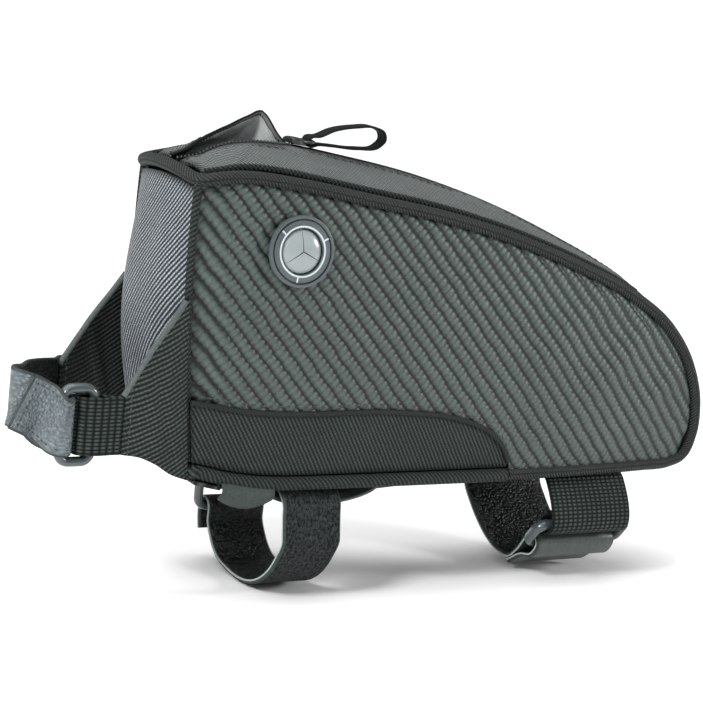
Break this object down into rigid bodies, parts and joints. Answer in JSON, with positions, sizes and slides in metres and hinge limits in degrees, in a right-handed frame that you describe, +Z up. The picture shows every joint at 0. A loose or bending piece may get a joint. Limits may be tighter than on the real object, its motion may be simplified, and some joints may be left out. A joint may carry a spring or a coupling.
{
  "type": "top tube bag",
  "caption": "Tapered bicycle top tube bag with a zipped crown lid, slit cable port, carbon-look sides, a steerer strap and hook-and-loop tube straps under its base.",
  "frame": {"origin": "middle of the base's underside, where the bag sits on the bicycle's top tube", "axes": "-X towards the steerer strap and the tall front, +X to the low nose, near side with the port at -Y, +Z up out of the top tube"},
  "size_m": [0.2897, 0.0681, 0.1697],
  "materials": {
    "carbon_look_cloth": "embossed, satin",
    "polyester_twill": "woven, matt",
    "coated_cloth": "pebbled coating, satin",
    "loop_pile": "brushed, matt",
    "nylon_webbing": "woven, matt",
    "moulded_nylon": "satin",
    "moulded_rubber": "satin"
  },
  "bodies": {
    "root": {"base_panel": "polyester_twill", "binding_far": "polyester_twill", "binding_near": "polyester_twill", "corner_tab_far": "polyester_twill", "corner_tab_near": "polyester_twill", "edge_piping": "polyester_twill", "front_panel": "polyester_twill", "front_ring": "moulded_nylon", "front_strap": "coated_cloth", "front_tube_ring": "moulded_nylon", "front_tube_strap": "loop_pile", "front_tube_webbing": "nylon_webbing", "front_webbing": "nylon_webbing", "keeper_strip": "coated_cloth", "lid_far": "polyester_twill", "lid_near": "polyester_twill", "nose_gusset": "polyester_twill", "port_membrane": "moulded_rubber", "port_ring": "moulded_nylon", "pull_loop": "nylon_webbing", "rear_tube_ring": "moulded_nylon", "rear_tube_strap": "coated_cloth", "rear_tube_webbing": "nylon_webbing", "side_insert_far": "polyester_twill", "side_insert_near": "polyester_twill", "side_panel_far": "carbon_look_cloth", "side_panel_near": "carbon_look_cloth", "wing_far": "polyester_twill", "wing_near": "polyester_twill", "zip_far": "nylon_webbing", "zip_near": "nylon_webbing", "zip_slider": "moulded_nylon"}
  },
  "joints": []
}
